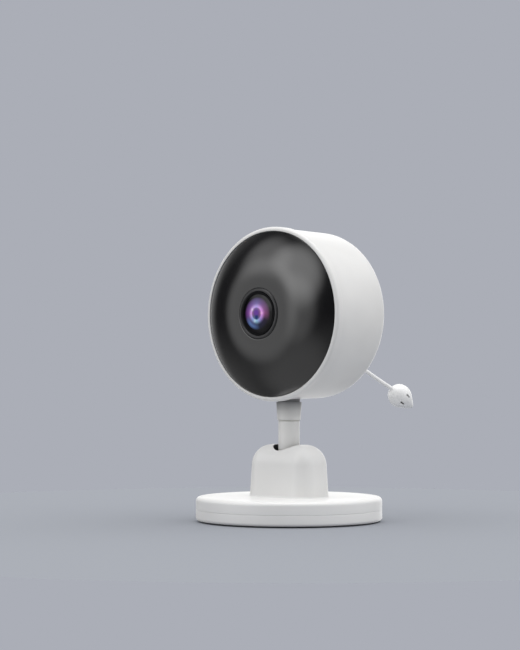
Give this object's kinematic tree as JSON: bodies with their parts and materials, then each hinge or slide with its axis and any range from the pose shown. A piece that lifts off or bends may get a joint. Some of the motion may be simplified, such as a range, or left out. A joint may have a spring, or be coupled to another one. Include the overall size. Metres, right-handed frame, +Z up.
{
  "type": "baby monitor camera",
  "caption": "Round drum-shaped baby camera with a domed dark face and lens, on a ball-jointed neck and a weighted round base, with a temperature sensor on a short lead.",
  "frame": {"origin": "centre of the base's underside, on the surface it stands on", "axes": "+Z up, -Y is the way the lens looks, +X is to the right as seen from the front"},
  "size_m": [0.08, 0.1148, 0.1262],
  "materials": {
    "white_shell": "satin moulded plastic",
    "white_cap": "satin moulded plastic",
    "face_black": "polished, dark smoked",
    "dark_plastic": "fine matt",
    "lens_glass": "coated, polished",
    "steel": "zinc plated",
    "foot_rubber": "matt",
    "bearing_plastic": "self-lubricating",
    "circuit_board": "solder mask",
    "chip_black": "matt epoxy",
    "led_clear": "clear resin",
    "cable_orange": "polyimide film",
    "wire_red": "wire insulation",
    "foam": "foam",
    "lead_white": "soft cable jacket"
  },
  "bodies": {
    "stand": {"anti_slip_ring": "foot_rubber", "base_lower_cover": "white_shell", "base_upper_cover": "white_shell", "ballast_plate": "steel", "base_screws": "steel", "joint_housing": "white_shell", "housing_screws": "steel", "spring_retainer": "steel", "retainer_screws": "steel", "disc_springs": "steel"},
    "ball_seat": {"seat_cup": "bearing_plastic", "seat_ring": "dark_plastic"},
    "neck": {"pivot_ball": "dark_plastic", "ball_screw": "steel", "neck": "white_shell", "friction_washer": "bearing_plastic", "swivel_washer": "steel", "swivel_screw": "steel"},
    "head": {"neck_collar": "white_shell", "collar_nut": "steel", "head_shell": "white_shell", "bezel_ring": "white_shell", "face_panel": "face_black", "lens_bezel": "dark_plastic", "lens_hood": "dark_plastic", "lens_barrel": "dark_plastic", "front_lens_element": "lens_glass", "second_lens_element": "lens_glass", "rear_lens_element": "lens_glass", "lens_holder": "dark_plastic", "lens_holder_screws": "steel", "image_sensor": "chip_black", "chassis": "dark_plastic", "main_board": "circuit_board", "board_chips": "chip_black", "radio_shield": "steel", "antenna_board": "circuit_board", "ir_board": "circuit_board", "ir_leds": "led_clear", "light_sensor": "led_clear", "microphone": "steel", "ir_board_cable": "cable_orange", "rear_cover": "white_shell", "rear_screws": "steel", "speaker": "chip_black", "speaker_gasket": "foam", "speaker_wires": "wire_red", "port_board": "circuit_board", "port_board_cable": "cable_orange", "power_port": "steel", "pair_switch": "chip_black", "lead_connector": "bearing_plastic", "lead_tail": "lead_white", "lead_grommet": "lead_white", "probe_lead": "lead_white", "probe_shell_upper": "white_cap", "probe_shell_lower": "white_cap", "thermistor": "chip_black"},
    "pair_button": {"pair_button": "white_cap", "switch_plunger": "chip_black"}
  },
  "joints": [
    {"name": "seat_turn", "type": "hinge", "parent": "stand", "child": "ball_seat", "pos_m": [0, 0, 0.0255], "axis": [0, 0, 1], "range_deg": [-90, 90]},
    {"name": "neck_tilt", "type": "hinge", "parent": "ball_seat", "child": "neck", "pos_m": [0, 0, 0.0255], "axis": [1, 0, 0], "range_deg": [-12, 12]},
    {"name": "head_swivel", "type": "hinge", "parent": "neck", "child": "head", "pos_m": [0, 0, 0.0435], "axis": [0, 0, 1], "range_deg": [-160, 160]},
    {"name": "pair_button_press", "type": "slide", "parent": "head", "child": "pair_button", "axis": [0, -1, 0], "range_m": [0, 0.0005], "stiffness_N_per_m": 2000, "springref_m": -0.0005}
  ]
}
